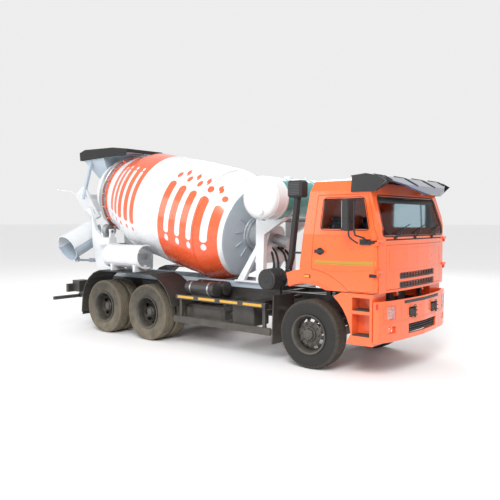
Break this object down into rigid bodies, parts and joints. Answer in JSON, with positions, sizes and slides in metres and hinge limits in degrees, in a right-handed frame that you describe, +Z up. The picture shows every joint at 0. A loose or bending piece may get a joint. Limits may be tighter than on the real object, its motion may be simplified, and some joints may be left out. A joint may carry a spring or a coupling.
{
  "type": "concrete mixer truck",
  "caption": "A concrete mixer truck: tilting cab with opening doors, steered and rolling wheels, a turning drum on rollers, a feed hopper and a swivelling, tilting, folding discharge chute.",
  "frame": {"origin": "On the ground, under the middle of the whole truck, stowed chute and mirrors included.", "axes": "+X points forward out of the cab front, +Y to the driver's left, +Z up."},
  "size_m": [9.2432, 3.09, 3.94],
  "materials": {
    "orange": "gloss cab paint",
    "white": "gloss paint",
    "drum_white": "gloss drum paint",
    "grey_blue": "satin paint",
    "teal": "gloss tank paint",
    "chassis_black": "satin chassis paint",
    "plastic_black": "grained moulding",
    "interior": "grained trim",
    "rubber": "matt rubber",
    "tyre": "moulded tyre rubber",
    "steel": "ground steel",
    "cast_iron": "rough casting",
    "glass": "clear glazing",
    "visor": "dark tinted sheet",
    "fabric": "woven cover"
  },
  "bodies": {
    "chassis": {"chassis_frame": "chassis_black", "front_bumper": "orange", "step_left": "orange", "step_right": "orange", "front_axle": "chassis_black", "middle_axle": "chassis_black", "rear_axle": "chassis_black", "bogie_springs": "chassis_black", "engine": "cast_iron", "fuel_tank": "chassis_black", "air_tanks": "chassis_black", "exhaust_silencer": "chassis_black", "battery_box": "plastic_black", "air_cleaner": "plastic_black", "side_guard_left": "chassis_black", "side_guard_right": "chassis_black", "rear_mudguard_left": "plastic_black", "rear_mudguard_right": "plastic_black", "rear_underrun": "chassis_black", "mixer_subframe": "grey_blue", "front_pedestal": "white", "drum_gearbox": "grey_blue", "water_tank": "teal", "rear_pedestal": "white", "discharge_funnel": "white", "feed_hopper": "grey_blue", "hopper_lip": "rubber", "extension_chute": "white", "access_ladder": "grey_blue"},
    "cab": {"cab_shell": "orange", "windscreen": "glass", "dashboard": "interior", "cab_seats": "fabric", "steering_wheel": "plastic_black", "sun_visor": "visor", "intake_stack": "plastic_black"},
    "front_panel": {"front_panel": "orange"},
    "door_right": {"door_right": "orange", "door_glass_right": "glass", "mirror_right": "plastic_black"},
    "door_left": {"door_left": "orange", "door_glass_left": "glass", "mirror_left": "plastic_black"},
    "mixing_drum": {"mixing_drum": "drum_white"},
    "drum_roller_right": {"drum_roller_right": "steel"},
    "drum_roller_left": {"drum_roller_left": "steel"},
    "chute_swivel": {"chute_swivel": "grey_blue"},
    "main_chute": {"main_chute": "grey_blue"},
    "folding_chute": {"folding_chute": "white"},
    "chute_jack_barrel": {"chute_jack_barrel": "grey_blue"},
    "chute_jack_rod": {"chute_jack_rod": "steel"},
    "knuckle_right": {"knuckle_right": "chassis_black"},
    "knuckle_left": {"knuckle_left": "chassis_black"},
    "front_wheel_right": {"front_wheel_right": "tyre"},
    "front_wheel_left": {"front_wheel_left": "tyre"},
    "middle_wheels_right": {"middle_wheels_right": "tyre"},
    "middle_wheels_left": {"middle_wheels_left": "tyre"},
    "rear_wheels_right": {"rear_wheels_right": "tyre"},
    "rear_wheels_left": {"rear_wheels_left": "tyre"}
  },
  "joints": [
    {"name": "steering_right", "type": "hinge", "parent": "chassis", "child": "knuckle_right", "pos_m": [3.11162, -0.88, 0.54], "axis": [0, 0, 1], "range_deg": [-35, 35]},
    {"name": "steering_left", "type": "hinge", "parent": "chassis", "child": "knuckle_left", "pos_m": [3.11162, 0.88, 0.54], "axis": [0, 0, 1], "range_deg": [-35, 35]},
    {"name": "front_wheel_right_spin", "type": "hinge", "parent": "knuckle_right", "child": "front_wheel_right", "pos_m": [3.11162, -1.022, 0.54], "axis": [0, 1, 0], "continuous": true},
    {"name": "front_wheel_left_spin", "type": "hinge", "parent": "knuckle_left", "child": "front_wheel_left", "pos_m": [3.11162, 1.022, 0.54], "axis": [0, 1, 0], "continuous": true},
    {"name": "middle_wheels_right_spin", "type": "hinge", "parent": "chassis", "child": "middle_wheels_right", "pos_m": [-0.57838, -0.945, 0.54], "axis": [0, 1, 0], "continuous": true},
    {"name": "middle_wheels_left_spin", "type": "hinge", "parent": "chassis", "child": "middle_wheels_left", "pos_m": [-0.57838, 0.945, 0.54], "axis": [0, 1, 0], "continuous": true},
    {"name": "rear_wheels_right_spin", "type": "hinge", "parent": "chassis", "child": "rear_wheels_right", "pos_m": [-1.89838, -0.945, 0.54], "axis": [0, 1, 0], "continuous": true},
    {"name": "rear_wheels_left_spin", "type": "hinge", "parent": "chassis", "child": "rear_wheels_left", "pos_m": [-1.89838, 0.945, 0.54], "axis": [0, 1, 0], "continuous": true},
    {"name": "drum_spin", "type": "hinge", "parent": "chassis", "child": "mixing_drum", "pos_m": [1.06162, 0, 2.1], "axis": [-0.9744, 0, 0.225], "continuous": true},
    {"name": "drum_roller_right_spin", "type": "hinge", "parent": "chassis", "child": "drum_roller_right", "pos_m": [-2.65162, -0.53701, 2.10859], "axis": [-0.9744, 0, 0.225], "continuous": true},
    {"name": "drum_roller_left_spin", "type": "hinge", "parent": "chassis", "child": "drum_roller_left", "pos_m": [-2.65162, 0.53701, 2.10859], "axis": [-0.9744, 0, 0.225], "continuous": true},
    {"name": "chute_swing", "type": "hinge", "parent": "chassis", "child": "chute_swivel", "pos_m": [-3.64838, 0, 1.4], "axis": [0, 0, -1], "range_deg": [0, 180]},
    {"name": "chute_tilt", "type": "hinge", "parent": "chute_swivel", "child": "main_chute", "pos_m": [-3.64838, 0, 1.73], "axis": [-1, 0, 0], "range_deg": [-5, 8]},
    {"name": "chute_jack_lean", "type": "hinge", "parent": "chute_swivel", "child": "chute_jack_barrel", "pos_m": [-3.64838, -0.27, 1.38], "axis": [-1, 0, 0], "range_deg": [-12, 20]},
    {"name": "chute_jack_extend", "type": "slide", "parent": "chute_jack_barrel", "child": "chute_jack_rod", "axis": [0, -0.9984, 0.0563], "range_m": [-0.05, 0.09]},
    {"name": "chute_fold", "type": "hinge", "parent": "main_chute", "child": "folding_chute", "pos_m": [-3.64838, -0.93152, 1.69178], "axis": [1, 0, 0], "range_deg": [0, 180]},
    {"name": "cab_tilt", "type": "hinge", "parent": "chassis", "child": "cab", "pos_m": [4.23162, 0, 1.195], "axis": [0, 1, 0], "range_deg": [0, 50]},
    {"name": "front_panel_swing", "type": "hinge", "parent": "cab", "child": "front_panel", "pos_m": [4.41162, 0, 1.955], "axis": [0, -1, 0], "range_deg": [0, 80]},
    {"name": "door_right_swing", "type": "hinge", "parent": "cab", "child": "door_right", "pos_m": [4.31162, -1.215, 1.7], "axis": [0, 0, 1], "range_deg": [0, 75]},
    {"name": "door_left_swing", "type": "hinge", "parent": "cab", "child": "door_left", "pos_m": [4.31162, 1.215, 1.7], "axis": [0, 0, -1], "range_deg": [0, 75]}
  ],
  "couplings": [
    {"joint": "steering_left", "follows": "steering_right", "ratio": 1},
    {"joint": "drum_roller_right_spin", "follows": "drum_spin", "ratio": -6.88},
    {"joint": "drum_roller_left_spin", "follows": "drum_spin", "ratio": -6.88},
    {"joint": "chute_jack_lean", "follows": "chute_tilt", "ratio": 1.598},
    {"joint": "chute_jack_extend", "follows": "chute_tilt", "m_per_rad": 0.3769}
  ]
}
